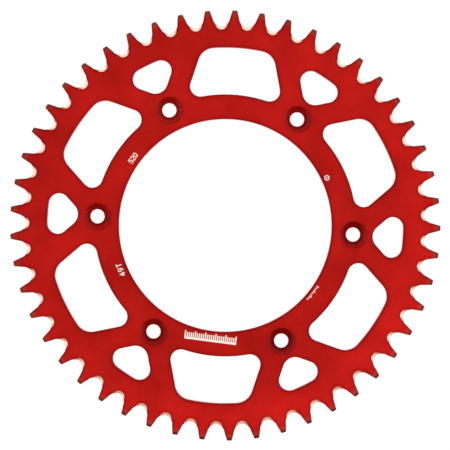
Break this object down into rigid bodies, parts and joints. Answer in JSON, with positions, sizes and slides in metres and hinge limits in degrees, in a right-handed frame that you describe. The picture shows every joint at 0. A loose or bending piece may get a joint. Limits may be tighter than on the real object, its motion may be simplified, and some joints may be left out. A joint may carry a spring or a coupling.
{
  "type": "motorcycle rear sprocket",
  "caption": "Flat aluminium ring sprocket for a motocross rear wheel, with a wide hub bore, countersunk bolt holes, spoke windows, roller chain teeth and mud reliefs.",
  "frame": {"origin": "centre of the bore on the hub-side face, the face that the plate lies on", "axes": "+Z along the bore axis towards the outer, countersunk face; +X through a bolt hole"},
  "size_m": [0.2565, 0.2566, 0.006],
  "materials": {
    "anodised_red": "satin red anodising on machined plate",
    "bare_aluminium": "freshly cut bare metal in the mud reliefs and the etched marks"
  },
  "bodies": {
    "root": {"sprocket": "anodised_red"}
  },
  "joints": []
}
